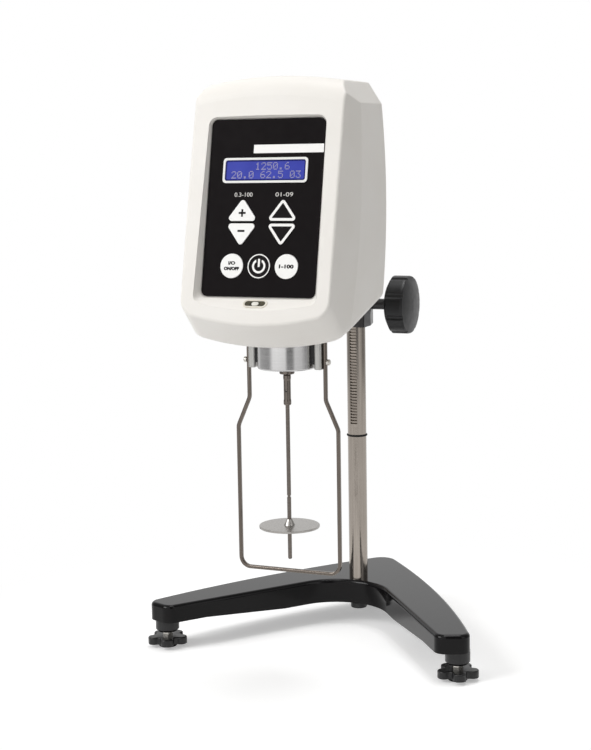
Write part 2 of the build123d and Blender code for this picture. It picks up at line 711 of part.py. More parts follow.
def housing():
    """Moulded housing: shelled, open at the back, with the panel recess and its openings."""
    body = soften(head_form())
    cavity = head_form(WALL, HEAD_BACK + 5)
    floor_back = panel_plane.offset(-PANEL_FLOOR)
    in_front = extrude(floor_back * Rectangle(4 * SIDE_HALF, 8 * SIDE_HALF), 2 * SIDE_HALF)
    body -= cavity - in_front
    body -= recess()
    for face in key_faces(KEY_GAP).values():
        body -= extrude(panel_plane * face, -PANEL_FLOOR - 1)
    body -= extrude(panel_plane * lcd_window(LCD_RIM), -PANEL_FLOOR - 1)
    body -= extrude(ledge_plane * level_outline(0), LEVEL_DEPTH, both=True)
    # opening in the underside for the cup and the guard lugs
    body -= disc(CUP_R + CUP_CLEARANCE, CUP_BOTTOM, CHASSIS_Z)
    lug_half = LUG_W / 2 + CUP_CLEARANCE
    lug_end = LUG_OUT + CUP_CLEARANCE
    body -= block(-lug_end, lug_end, -lug_half, lug_half, CUP_BOTTOM, CHASSIS_Z)
    return body


# ---------------------------------------------------------------- panel, display, keys, level
def on_panel(face, z0, z1):
    """Slab over a face of the panel, between two depths (Z towards the user)."""
    solid = extrude(panel_plane * (Pos(0, 0, z0) * face), z1 - z0)
    return solid


def panel_overlay():
    """Membrane overlay with the keys' openings and the display's window."""
    sheet = Pos(0, PANEL_LEN / 2) * RectangleRounded(2 * PANEL_HALF, PANEL_LEN, PANEL_R)
    body = on_panel(sheet, 0, PANEL_T)
    for face in key_faces(KEY_GAP).values():
        body -= on_panel(face, 0, PANEL_T)
    return body - on_panel(lcd_window(LCD_RIM), 0, PANEL_T)


def lcd_bezel():
    """Thin raised frame round the display."""
    return on_panel(lcd_window(0), PANEL_T, PANEL_T + 0.8) - on_panel(
        lcd_window(LCD_RIM), PANEL_T, PANEL_T + 0.8)


def lcd_glass():
    """Display glass in the window."""
    return on_panel(lcd_window(LCD_RIM + FIT), -PANEL_FLOOR, PANEL_T + 0.2)


def lcd_module():
    """Display module: metal frame against the recess floor's back, on its board."""
    back = -PANEL_FLOOR
    frame = on_panel(Pos(0, LCD_S) * Rectangle(MODULE_W - 8, MODULE_H - 5), back - 5, back)
    board = on_panel(Pos(0, LCD_S) * Rectangle(MODULE_W, MODULE_H), back - 5 - BOARD_T, back - 5)
    return frame + board


def membrane_key(face):
    """Key cap with a flange behind the recess floor and a stem to its switch."""
    back = -PANEL_FLOOR - 0.1
    cap = on_panel(face, back - KEY_FLANGE_T, PANEL_T + KEY_PROUD)
    flange = on_panel(offset(face, KEY_FLANGE), back - KEY_FLANGE_T, back)
    centre = face.center()
    end = -PANEL_FLOOR - KEY_BOARD_DEPTH + SWITCH_H + KEY_TRAVEL + 0.1
    stem = on_panel(Pos(centre.X, centre.Y) * Circle(STEM_R), end, back - KEY_FLANGE_T)
    return cap + flange + stem


def key_board():
    """Board with a switch behind each key, on four spacers."""
    top = -PANEL_FLOOR - KEY_BOARD_DEPTH
    low, high, half = 7.0, LCD_S - MODULE_H / 2 - 1.5, PANEL_HALF - 7
    middle = (low + high) / 2
    body = on_panel(Pos(0, middle) * Rectangle(2 * half, high - low), top - BOARD_T, top)
    for face in key_faces().values():
        at = face.center()
        body += on_panel(Pos(at.X, at.Y) * Circle(SWITCH_R), top, top + SWITCH_H)
    for x in (-half + 3, half - 3):
        for y in (low + 3, high - 3):
            body += on_panel(Pos(x, y) * Circle(2.5), top, -PANEL_FLOOR)
    return body


def level_bezel():
    """Oval holder of the spirit level, let into the ledge."""
    body = extrude(ledge_plane.offset(-LEVEL_DEPTH) * level_outline(FIT), LEVEL_DEPTH + 0.6)
    return body - extrude(ledge_plane.offset(-LEVEL_DEPTH / 2) * level_outline(LEVEL_RIM), 4)


def level_vial():
    """Glass vial that fills the holder."""
    return extrude(ledge_plane.offset(-LEVEL_DEPTH / 2) * level_outline(LEVEL_RIM + FIT),
                   LEVEL_DEPTH / 2 + 0.3)


# ---------------------------------------------------------------- chassis and drive
MOTOR_X = -(DRIVE_TEETH + MOTOR_TEETH) * GEAR_MODULE / 2


def chassis():
    """Bracket inside the head: floor plate, back plate and the boss that takes the arm."""
    half = barrel(CHASSIS_Z, WALL) - GAP
    floor_top = CHASSIS_Z + CHASSIS_T
    back = CHASSIS_BACK - CHASSIS_T
    body = block(-half, half, CHASSIS_FRONT, CHASSIS_BACK, CHASSIS_Z, floor_top)
    body += block(-BACK_HALF, BACK_HALF, back, CHASSIS_BACK, CHASSIS_Z, CHASSIS_TOP)
    body += bar_y(ARM_BOSS_R, CHASSIS_BACK - ARM_BOSS_LEN, CHASSIS_BACK, 0, ARM_Z)
    for x, z in cover_screws():
        body += bar_y(3.5, CHASSIS_BACK, REAR_COVER_Y, x, z)
    for side in (-1, 1):
        rib = Polyline((back, floor_top), (back - 16, floor_top), (back, floor_top + 16),
                       close=True)
        body += extrude(Plane.YZ.offset(side * (ARM_BOSS_R + 3)) * make_face(rib), 1.5, both=True)
    body -= bar_y(ARM_R + FIT, CHASSIS_BACK - ARM_BOSS_LEN, CHASSIS_BACK, 0, ARM_Z)
    body -= disc(CUP_R - CUP_WALL, CHASSIS_Z, floor_top)
    wide, high = INLET_W / 2 + 1, INLET_H / 2 + 1
    return body - block(INLET_X - wide, INLET_X + wide, back, CHASSIS_BACK,
                        INLET_Z - high, INLET_Z + high)


def cover_screws():
    """Places of the four rear cover screws (X, Z)."""
    x, high = BACK_HALF - 6, CHASSIS_TOP - 6
    left_low = ARM_Z + ARM_BOSS_R + 6
    right_low = INLET_Z + INLET_H / 2 + 9
    return [(-x, high), (x, high), (-x, left_low), (x, right_low)]


def rear_cover():
    """Cover set into the back of the housing, with openings for the arm and the inlet."""
    back = REAR_COVER_Y + REAR_COVER_T
    body = head_form(WALL + 0.15, back)
    body &= block(-SIDE_HALF, SIDE_HALF, REAR_COVER_Y, back, 0, TALL)
    body -= bar_y(ARM_R + GAP, REAR_COVER_Y, back, 0, ARM_Z)
    wide, high = INLET_W / 2 + FIT, INLET_H / 2 + FIT
    body -= block(INLET_X - wide, INLET_X + wide, REAR_COVER_Y, back,
                  INLET_Z - high, INLET_Z + high)
    vent = Pos(0, REAR_COVER_Y, CHASSIS_TOP - 22) * Rot(-90, 0, 0) * SlotOverall(36, 3)
    for row in range(VENT_ROWS):
        body -= extrude(Pos(0, 0, -VENT_PITCH * row) * vent, REAR_COVER_T)
    return body


def power_inlet():
    """Appliance inlet: flanged box with an open socket."""
    back = REAR_COVER_Y + REAR_COVER_T
    mouth = back + INLET_FLANGE
    wide, high = INLET_W / 2, INLET_H / 2
    body = block(INLET_X - wide, INLET_X + wide, mouth - INLET_DEPTH - 2, mouth,
                 INLET_Z - high, INLET_Z + high)
    body += block(INLET_X - wide - 2.5, INLET_X + wide + 2.5, back, mouth,
                  INLET_Z - high - 2.5, INLET_Z + high + 2.5)
    body = fillet(body.edges().filter_by(Axis.Y), 1.5)
    wide -= INLET_WALL
    high -= INLET_WALL
    socket = block(INLET_X - wide, INLET_X + wide, mouth - INLET_DEPTH, mouth,
                   INLET_Z - high, INLET_Z + high)
    top = socket.edges().filter_by(Axis.Y).sort_by(Axis.Z)[-2:]
    return body - chamfer(top, 4.0)


def inlet_pins():
    """Three blades of the inlet."""
    floor = REAR_COVER_Y + REAR_COVER_T + INLET_FLANGE - INLET_DEPTH
    pins = []
    for x, z in ((-7.0, -1.5), (0.0, 2.5), (7.0, -1.5)):
        pin = block(-PIN_W / 2, PIN_W / 2, floor, floor + INLET_DEPTH - 3, -PIN_H / 2, PIN_H / 2)
        pins.append(Pos(INLET_X + x, 0, INLET_Z + z) * pin)
    return Compound(children=pins)


def main_board():
    """Control board on spacers in front of the back plate, with its larger components."""
    back = CHASSIS_BACK - CHASSIS_T
    half, low, high = BACK_HALF - 6, SHELF_Z + 20, CHASSIS_TOP - 8
    body = block(-half, half, BOARD_Y, BOARD_Y + BOARD_T, low, high)
    for x in (-half + 4, half - 4):
        for z in (low + 4, high - 4):
            body += bar_y(2.5, BOARD_Y + BOARD_T, back, x, z)
    for x, z, w, h, d in ((14, high - 16, 22, 18, 9), (-20, high - 14, 16, 14, 5),
                          (22, low + 16, 14, 12, 7), (0, high - 40, 12, 12, 3)):
        body += block(x - w / 2, x + w / 2, BOARD_Y - d, BOARD_Y, z - h / 2, z + h / 2)
    return body


def drive_shelf():
    """Shelf on four posts, with the sleeve that the drive gear turns on."""
    body = block(-SHELF_HALF, SHELF_HALF, -SHELF_REACH + 2, SHELF_REACH, SHELF_Z,
                 SHELF_Z + CHASSIS_T)
    for x in (-SHELF_HALF + 4, SHELF_HALF - 4):
        for y in (-SHELF_REACH + 6, SHELF_REACH - 4):
            body += disc(3.0, CHASSIS_Z + CHASSIS_T, SHELF_Z, (x, y))
    body += disc(SLEEVE_R, SHELF_Z - SLEEVE_LEN, SHELF_Z)
    body -= disc(PIVOT_R + 1, SHELF_Z - SLEEVE_LEN, SHELF_Z + CHASSIS_T)
    return body - disc(MOTOR_SHAFT_R + GAP, SHELF_Z, SHELF_Z + CHASSIS_T, (MOTOR_X, 0))


def jewel_bearing():
    """Upper bearing that carries the pivot shaft's end."""
    top = SHELF_Z + CHASSIS_T
    body = chamfer(disc(6.0, top, PIVOT_TOP + 3).edges().sort_by(Axis.Z)[-1], 0.8)
    return body - disc(PIVOT_R + RUN, top, PIVOT_TOP + 0.1)


def gearmotor():
    """Motor on its gearbox, standing on the shelf."""
    base = SHELF_Z + CHASSIS_T
    at = (MOTOR_X, 0)
    body = disc(MOTOR_R, base, base + GEARBOX_LEN, at)
    body += disc(MOTOR_R - 1, base + GEARBOX_LEN, base + GEARBOX_LEN + MOTOR_LEN, at)
    body += disc(4.0, base + GEARBOX_LEN + MOTOR_LEN, base + GEARBOX_LEN + MOTOR_LEN + 3, at)
    return body - disc(MOTOR_SHAFT_R + RUN, base, base + 4, at)


def motor_pinion():
    """Motor pinion on the gearbox's output shaft."""
    wheel = extrude(gear_outline(MOTOR_TEETH, GEAR_MODULE, 180 / MOTOR_TEETH), GEAR_T)
    body = Pos(0, 0, GEAR_Z) * wheel
    return body + disc(MOTOR_SHAFT_R, GEAR_Z, SHELF_Z + CHASSIS_T + 3.8)


def drive_gear():
    """Gear that turns the spring cage round the fixed sleeve."""
    body = Pos(0, 0, GEAR_Z) * extrude(gear_outline(DRIVE_TEETH, GEAR_MODULE, 0.0), GEAR_T)
    body += disc(SLEEVE_R + 3, GEAR_Z + GEAR_T, SHELF_Z - GAP)
    return body - disc(SLEEVE_R + RUN, GEAR_Z, SHELF_Z)


def spring_cage():
    """Cage under the drive gear, with the spring's outer anchor."""
    low = GEAR_Z - CAGE_DEPTH
    body = disc(CAGE_R, low, GEAR_Z) - disc(CAGE_R - CAGE_WALL, low, GEAR_Z)
    outer = spring_end() + SPRING_T / 2 + GAP
    post = block(outer, CAGE_R - CAGE_WALL + 0.5, -1.5, 1.5, low, GEAR_Z)
    return body + post


def spring_end():
    """Radius at which the spiral spring ends."""
    return SPRING_HUB_R + SPRING_T / 2 + SPRING_ARCS * SPRING_STEP


def torsion_spring():
    """Flat spiral spring wound from half-circles, on its hub."""
    radius = SPRING_HUB_R + SPRING_T / 2
    arcs = []
    for k in range(SPRING_ARCS):
        centre = 0 if k % 2 == 0 else SPRING_STEP
        side = 1 if k % 2 == 0 else -1
        arcs.append(ThreePointArc((centre + side * radius, 0), (centre, side * radius),
                                  (centre - side * radius, 0)))
        radius += SPRING_STEP
    middle = GEAR_Z - CAGE_DEPTH / 2
    ribbon = extrude(trace(Wire(arcs), SPRING_T), SPRING_H / 2, both=True)
    body = Pos(0, 0, middle) * ribbon + disc(SPRING_HUB_R, middle - 4, middle + 4)
    return body - disc(PIVOT_R + FIT, middle - 4, middle + 4)


def pivot_shaft():
    """Shaft from the upper bearing down through the cup to the spindle coupling."""
    return chamfer(disc(PIVOT_R, PIVOT_BOTTOM, PIVOT_TOP).edges(), 0.3)


def pivot_cup():
    """Turned cup under the head, with the lower bearing in its floor."""
    body = disc(CUP_R, CUP_BOTTOM, CHASSIS_Z)
    body = fillet(body.edges().sort_by(Axis.Z)[0], 1.2)
    body -= disc(CUP_R - CUP_WALL, CUP_BOTTOM + CUP_FLOOR, CHASSIS_Z)
    return body - disc(BEARING_R + FIT, CUP_BOTTOM, CUP_BOTTOM + CUP_FLOOR)


def lower_bearing():
    """Flanged bearing bush of the pivot shaft."""
    flange = disc(BEARING_FLANGE_R, CUP_BOTTOM - BEARING_FLANGE, CUP_BOTTOM)
    body = chamfer(flange.edges().sort_by(Axis.Z)[0], 0.5)
    body += disc(BEARING_R, CUP_BOTTOM, CUP_BOTTOM + CUP_FLOOR + 2)
    return body - disc(PIVOT_R + RUN, CUP_BOTTOM - BEARING_FLANGE, CUP_BOTTOM + CUP_FLOOR + 2)


# ---------------------------------------------------------------- guard and spindle
def guard_lugs():
    """Two lugs that hang beside the cup and carry the guard."""
    pair = []
    for side in (-1, 1):
        lug = block(LUG_IN, LUG_OUT, -LUG_W / 2, LUG_W / 2, CUP_BOTTOM, CHASSIS_Z)
        lug = fillet(lug.edges().filter_by(Axis.Z), LUG_EDGE)
        lug = fillet(lug.edges().filter_by(lambda e: e.center().Z < CUP_BOTTOM + 0.01), 0.8)
        lug -= bar_x(GUARD_SCREW_R + FIT, LUG_IN, LUG_OUT, 0, GUARD_SCREW_Z)
        pair.append(lug if side == 1 else mirror(lug, Plane.YZ))
    return Compound(children=pair)


def lug_pads():
    """Black spacers between the cup and the lugs."""
    pair = []
    for side in (-1, 1):
        pad = block(CUP_R - 2, LUG_IN, -LUG_W / 2 + 1, LUG_W / 2 - 1, CUP_BOTTOM + 4, CHASSIS_Z)
        pad -= disc(CUP_R + FIT, CUP_BOTTOM, CHASSIS_Z)
        pair.append(pad if side == 1 else mirror(pad, Plane.YZ))
    return Compound(children=pair)


def guard_leg():
    """Flat bar bent into a loop round the spindle."""
    half = [(LEG_X, LEG_TOP), (LEG_X, LEG_KINK_Z), (LEG_WIDE_X, LEG_WIDE_Z),
            (LEG_WIDE_X, LEG_BOTTOM_Z)]
    path = [(-x, z) for x, z in half] + list(reversed(half))
    line = FilletPolyline(*path, radius=LEG_BEND)
    body = extrude(Plane.XZ * trace(line, LEG_T), LEG_W / 2, both=True)
    rims = body.edges().filter_by(lambda e: abs(abs(e.center().Y) - LEG_W / 2) < 0.01)
    body = fillet(rims, LEG_EDGE)
    for side in (-1, 1):
        x0, x1 = sorted((side * (LEG_X - LEG_T), side * (LEG_X + LEG_T)))
        body -= bar_x(GUARD_SCREW_R + FIT, x0, x1, 0, GUARD_SCREW_Z)
    return body


def guard_screws():
    """Two screws that hold the guard to the lugs."""
    outer = LEG_X + LEG_T / 2
    screw = bar_x(GUARD_SCREW_R, LUG_IN + 0.5, outer, 0, GUARD_SCREW_Z)
    head = bar_x(GUARD_SCREW_HEAD_R, outer, outer + GUARD_SCREW_HEAD, 0, GUARD_SCREW_Z)
    screw += fillet(head.edges().sort_by(Axis.X)[-1], 0.8)
    return Compound(children=[screw, mirror(screw, Plane.YZ)])


def spindle_coupling():
    """Waisted nut between the pivot shaft and the spindle."""
    low, high, waist = COUPLING_BOTTOM, COUPLING_TOP, COUPLING_R - 0.25
    body = revolved([(0, low), (COUPLING_R - 0.4, low), (COUPLING_R, low + 0.8),
                     (COUPLING_R, low + 3), (waist, low + 4.5), (waist, high - 4.5),
                     (COUPLING_R, high - 3), (COUPLING_R, high - 0.8), (COUPLING_R - 0.4, high),
                     (0, high)])
    body -= disc(SPINDLE_R + FIT, low, SPINDLE_TOP)
    body -= disc(PIVOT_R + FIT, PIVOT_BOTTOM, high)
    return body - bar_y(CROSS_HOLE_R, -COUPLING_R, COUPLING_R, 0, CROSS_HOLE_Z)


def spindle_shaft():
    """Spindle rod with its immersion groove and a rounded tip."""
    body = disc(SPINDLE_R, SPINDLE_TIP, SPINDLE_TOP)
    body = fillet(body.edges().sort_by(Axis.Z)[0], SPINDLE_R * 0.8)
    ring = disc(SPINDLE_R + 1, GROOVE_Z - 0.75, GROOVE_Z + 0.75)
    return body - (ring - disc(GROOVE_R, GROOVE_Z - 0.75, GROOVE_Z + 0.75))


def spindle_disc():
    """Measuring disc with a tapered hub."""
    low, high = DISC_Z - DISC_T / 2, DISC_Z + DISC_T / 2
    bore = SPINDLE_R + FIT
    return revolved([(bore, low), (DISC_R - 0.2, low), (DISC_R, low + 0.2), (DISC_R, high - 0.2),
                     (DISC_R - 0.2, high), (DISC_HUB_R, high), (bore + 0.5, DISC_HUB_TOP),
                     (bore, DISC_HUB_TOP)])


# ---------------------------------------------------------------- small pieces of the carriage
def stop_ring():
    """Rubber ring that stops the carriage above the base."""
    return Pos(0, 0, RING_Z) * Torus(COLUMN_R, RING_R)


def pinion_bush():
    """Bush of the pinion shaft on the knob's side."""
    inner = RACK_WIDTH / 2 + 5.6
    body = bar_x(PINION_BORE_R - FIT, inner, BLOCK_HALF, 0, 0)
    return body - bar_x(SHAFT_R + RUN, inner, BLOCK_HALF, 0, 0)


def clamp_screws():
    """Brake screw behind the column and set screw over the arm."""
    tension = bar_y(BRAKE_R - FIT, BLOCK_REAR - BRAKE_SCREW, BLOCK_REAR, 0, PINION_Z)
    grip = disc(GRIP_SCREW_R - FIT, ARM_Z + ARM_R, BLOCK_TOP, (0, BLOCK_FRONT + ARM_IN_BLOCK / 2))
    return Compound(children=[tension, grip])


def brake_pad():
    """Plastic pad that the tension screw presses on the column."""
    pad = bar_y(BRAKE_R - FIT, COLUMN_R - 1, BLOCK_REAR - BRAKE_SCREW, 0, PINION_Z)
    return pad - disc(COLUMN_R + RUN, PINION_Z - 4, PINION_Z + 4)


def mounting_arm():
    """Rod from the head's bracket into the carriage."""
    rear = COLUMN_Y - SPINDLE_Y + BLOCK_FRONT + ARM_IN_BLOCK - GAP
    return chamfer(bar_y(ARM_R, CHASSIS_BACK - ARM_BOSS_LEN, rear, 0, ARM_Z).edges(), 0.6)


# ---------------------------------------------------------------- the instrument
column_at = (0, COLUMN_Y, 0)
pinion_at = (0, COLUMN_Y + PINION_Y, PINION_Z)
head_at = (0, SPINDLE_Y, 0)

nodes = {
    "base_casting": (base_casting(), (0, 0, 0)),
    "column": (column(), column_at),
    "column_bolt": (column_bolt(), column_at),
    "stop_ring": (stop_ring(), column_at),
    "clamp_block": (clamp_block(), column_at),
    "column_bushes": (column_bushes(), column_at),
    "clamp_screws": (clamp_screws(), column_at),
    "brake_pad": (brake_pad(), column_at),
    "pinion_bush": (pinion_bush(), pinion_at),
    "pinion_shaft": (pinion_shaft(), pinion_at),
    "pinion": (pinion(), pinion_at),
    "knob": (knob(), pinion_at),
}
for make in (housing, rear_cover, power_inlet, inlet_pins, panel_overlay, lcd_bezel, lcd_glass,
             lcd_module, key_board, level_bezel, level_vial, chassis, mounting_arm, main_board,
             drive_shelf, jewel_bearing, gearmotor, drive_gear, spring_cage, torsion_spring,
             pivot_shaft, pivot_cup, lower_bearing, guard_lugs, lug_pads, guard_leg, guard_screws,
             spindle_coupling, spindle_shaft, spindle_disc):
    nodes[make.__name__] = (make(), head_at)
for name, face in key_faces().items():
    nodes[name] = (membrane_key(face), head_at)
nodes["motor_pinion"] = (motor_pinion(), (MOTOR_X, SPINDLE_Y, 0))
collars = []
for side, (x, y) in zip(("left", "right", "rear"), FEET):
    collars.append(Pos(x, y, 0) * foot_collar())
    nodes[f"foot_wheel_{side}"] = (foot_wheel(), (x, y, 0))
    nodes[f"foot_stud_{side}"] = (foot_stud(), (x, y, 0))
    nodes[f"foot_pad_{side}"] = (foot_pad(), (x, y, 0))
nodes["foot_collars"] = (Compound(children=collars), (0, 0, 0))

for name, (shape, at) in nodes.items():
    save(name, shape, at)
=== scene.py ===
import bpy, bmesh, math
from mathutils import Matrix, Vector


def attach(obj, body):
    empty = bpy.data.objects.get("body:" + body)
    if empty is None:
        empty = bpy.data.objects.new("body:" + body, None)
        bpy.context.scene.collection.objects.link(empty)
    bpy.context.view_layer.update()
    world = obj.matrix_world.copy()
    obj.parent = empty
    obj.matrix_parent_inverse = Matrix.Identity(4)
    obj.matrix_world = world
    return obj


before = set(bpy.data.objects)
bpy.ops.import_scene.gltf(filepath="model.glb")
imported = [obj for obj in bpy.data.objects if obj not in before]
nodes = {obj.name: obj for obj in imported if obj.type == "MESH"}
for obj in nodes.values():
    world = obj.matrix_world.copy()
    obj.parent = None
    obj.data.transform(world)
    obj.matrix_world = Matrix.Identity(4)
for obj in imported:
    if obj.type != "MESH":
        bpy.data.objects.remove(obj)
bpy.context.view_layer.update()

MM = 0.001
SPINDLE_Y = -80.0     # the spindle's axis, in mm in front of the origin


# ------------------------------------------------------------------ materials
def srgb(code):
    """Linear colour of a #RRGGBB code."""
    out = []
    for i in (1, 3, 5):
        v = int(code[i:i + 2], 16) / 255
        out.append(v / 12.92 if v <= 0.04045 else ((v + 0.055) / 1.055) ** 2.4)
    return (*out, 1.0)


class Material:
    """A Principled material built up by a few node helpers."""

    def __init__(self, name, colour, rough, metal=0.0, coat=0.0, specular=0.5):
        self.mat = bpy.data.materials.new(name)
        self.mat.use_nodes = True
        self.tree = self.mat.node_tree
        self.bsdf = self.tree.nodes["Principled BSDF"]
        self.colour = srgb(colour)
        self.rough = rough
        self.bsdf.inputs["Base Color"].default_value = self.colour
        self.bsdf.inputs["Roughness"].default_value = rough
        self.bsdf.inputs["Metallic"].default_value = metal
        self.bsdf.inputs["Coat Weight"].default_value = coat
        self.bsdf.inputs["Specular IOR Level"].default_value = specular
        self.normal = None
        self.mat.diffuse_color = self.colour

    def node(self, kind, **inputs):
        made = self.tree.nodes.new(kind)
        for key, value in inputs.items():
            made.inputs[key.replace("_", " ")].default_value = value
        return made

    def link(self, a, b):
        self.tree.links.new(a, b)

    def noise(self, scale, stretch=(1, 1, 1), detail=3.0, rough=0.5):
        """Noise in the row frame, in cycles per metre, stretched along an axis."""
        place = self.node("ShaderNodeTexCoord")
        mapping = self.node("ShaderNodeMapping")
        mapping.inputs["Scale"].default_value = stretch
        made = self.node("ShaderNodeTexNoise", Scale=scale, Detail=detail, Roughness=rough)
        self.link(place.outputs["Object"], mapping.inputs["Vector"])
        self.link(mapping.outputs["Vector"], made.inputs["Vector"])
        return made.outputs["Fac"]

    def span(self, value, low, high, start=0.35, end=0.65):
        """Value mapped from a stretch of the noise to a range."""
        made = self.node("ShaderNodeMapRange")
        made.inputs["From Min"].default_value = start
        made.inputs["From Max"].default_value = end
        made.inputs["To Min"].default_value = low
        made.inputs["To Max"].default_value = high
        self.link(value, made.inputs["Value"])
        return made.outputs["Result"]

    def tint(self, value, other, amount=1.0, start=0.35, end=0.65):
        """Colour between the base colour and another one."""
        mix = self.node("ShaderNodeMix")
        mix.data_type = "RGBA"
        source = self.bsdf.inputs["Base Color"]
        if source.is_linked:
            self.link(source.links[0].from_socket, mix.inputs[6])
        else:
            mix.inputs[6].default_value = self.colour
        mix.inputs[7].default_value = srgb(other)
        self.link(self.span(value, 0.0, amount, start, end), mix.inputs[0])
        self.link(mix.outputs[2], source)
        return self

    def roughen(self, value, low, high):
        """Roughness that varies over the surface."""
        self.link(self.span(value, low, high), self.bsdf.inputs["Roughness"])
        return self

    def bump(self, value, height, strength=1.0):
        """Relief of a height in metres, on top of any relief already there."""
        made = self.node("ShaderNodeBump", Strength=strength, Distance=height)
        self.link(value, made.inputs["Height"])
        if self.normal is not None:
            self.link(self.normal, made.inputs["Normal"])
        self.normal = made.outputs["Normal"]
        self.link(self.normal, self.bsdf.inputs["Normal"])
        return self

    def edge_highlight(self, other, amount):
        """Painted highlight along convex edges: colour turned there towards another one, paler in
        every use here, standing in for the light that rounded edges catch.
        """
        geometry = self.node("ShaderNodeNewGeometry")
        return self.tint(geometry.outputs["Pointiness"], other, amount, 0.53, 0.62)


def moulding(name, colour, other, rough=0.42, grain=0.00003, specular=0.5, mottle=0.35):
    """Moulded plastic: fine spark-erosion grain, faint mottling, slightly varied gloss."""
    m = Material(name, colour, rough, specular=specular)
    m.tint(m.noise(26, detail=4), other, mottle)
    m.roughen(m.noise(160, detail=5), rough - 0.04, rough + 0.05)
    m.bump(m.noise(2400, detail=2), grain, 0.5)
    return m


def steel(name, colour, other, rough=0.28, along=(1, 1, 1), scale=420, relief=0.000006,
          streak=0.4):
    """Metal with fine lines drawn out along one direction."""
    m = Material(name, colour, rough, metal=1.0)
    lines = m.noise(scale, along, detail=4, rough=0.6)
    m.tint(lines, other, streak)
    m.roughen(m.noise(scale * 1.7, along, detail=4), rough - 0.04, rough + 0.07)
    m.bump(lines, relief, 0.4)
    m.tint(m.noise(45, detail=3), other, 0.15)
    return m


UPRIGHT = (1, 1, 0.02)      # fine lines that run up and down
ROUND = (0.02, 0.02, 1)     # lines that run round an upright axis
DEEP = (1, 0.02, 1)         # lines that run from front to back

M = {}
M["housing"] = moulding("housing_plastic", "#EFECE7", "#EAE6DF", 0.42, 0.000018, 0.35)
M["cover"] = moulding("cover_plastic", "#E9E6DF", "#E2DED6", 0.50, 0.000030, 0.35)
M["overlay"] = moulding("overlay_film", "#161314", "#1A1718", 0.50, 0.000004, 0.03, 0.3)
M["white_print"] = moulding("white_print", "#FBFAF8", "#F5F4F1", 0.45, 0.000004, 0.3)
M["dark_print"] = moulding("dark_print", "#161415", "#1D1B1C", 0.50, 0.000004, 0.1)
M["grey_print"] = moulding("grey_print", "#D6D4D0", "#CAC8C3", 0.48, 0.000004, 0.2)
M["white_key"] = moulding("white_key", "#FBFBF9", "#F5F4F1", 0.45, 0.000006, 0.3)
M["black_key"] = moulding("black_key", "#181516", "#1C191A", 0.48, 0.000006, 0.04)
M["bezel"] = moulding("display_bezel", "#F1F1EE", "#E6E6E1", 0.38, 0.000006, 0.3)
M["knob"] = moulding("knob_plastic", "#0F0F11", "#18181A", 0.38, 0.000030, 0.40)
M["wheel"] = moulding("wheel_plastic", "#0D0D0E", "#161617", 0.36, 0.000030, 0.40)
M["collar"] = moulding("collar_plastic", "#101011", "#1A1A1B", 0.34, 0.000024, 0.4)
M["dark_moulding"] = moulding("dark_moulding", "#18181A", "#232324", 0.45, 0.00003, 0.4)
M["acetal"] = moulding("acetal", "#E4E2DC", "#D6D3CB", 0.45)
M["rubber"] = moulding("rubber", "#141414", "#1E1E1E", 0.75, 0.00006, 0.3)
M["board"] = moulding("circuit_board", "#2F5B3C", "#244A31", 0.45, 0.00002)
M["column"] = steel("column_steel", "#A39B93", "#857D74", 0.15, UPRIGHT, 700)
M["arm"] = steel("arm_steel", "#9C958D", "#7A736B", 0.24, DEEP, 700)
M["guard"] = steel("guard_steel", "#746C65", "#504A44", 0.18, UPRIGHT, 700)
M["cup"] = steel("turned_aluminium", "#C6C5C5", "#B3B2B2", 0.16, ROUND, 900, 0.000003, 0.3)
M["lug"] = steel("lug_aluminium", "#B5B4B2", "#96958F", 0.28, UPRIGHT, 700)
M["spindle"] = steel("spindle_steel", "#766F69", "#524C47", 0.18, ROUND, 1100, 0.000004)
M["disc"] = steel("disc_steel", "#ABA8A4", "#96928E", 0.30, (1, 1, 1), 500, 0.000004, 0.3)
M["plated"] = steel("plated_steel", "#C9C6C0", "#A7A39C", 0.20, (1, 1, 1), 500)
M["fastener"] = steel("plain_steel", "#8F8D89", "#6C6965", 0.36, (1, 1, 1), 400)
M["sheet"] = steel("sheet_aluminium", "#B7B8B6", "#999A98", 0.40, (0.03, 1, 1), 500)
M["brass"] = steel("brass", "#B39A5C", "#8C7640", 0.30, (1, 1, 1), 600)

# gloss black enamel: deep colour with a sharp reflection and a faint orange-peel skin
enamel = Material("gloss_black_enamel", "#0A090A", 0.10, specular=0.18)
enamel.tint(enamel.noise(30, detail=3), "#100E0F", 0.6)
enamel.roughen(enamel.noise(120, detail=4), 0.085, 0.115)
enamel.bump(enamel.noise(240, detail=1), 0.000003, 0.15)
M["enamel"] = enamel
carriage = Material("satin_black_paint", "#141314", 0.38, coat=0.2, specular=0.3)
carriage.tint(carriage.noise(60, detail=4), "#1E1C1E", 0.7)
carriage.roughen(carriage.noise(260, detail=4), 0.32, 0.46)
carriage.bump(carriage.noise(900, detail=2), 0.00002, 0.4)
# painted highlight: paler colour along the convex edges of the clamp block
carriage.edge_highlight("#4A4848", 0.3)
M["carriage"] = carriage
# painted highlight: paler colour along the convex edges of the knob, foot wheels, foot collars
# and pivot cup
for key, tone in (("knob", "#343436"), ("wheel", "#323233"), ("collar", "#333334")):
    M[key].edge_highlight(tone, 0.35)
M["cup"].edge_highlight("#E4E3E0", 0.4)
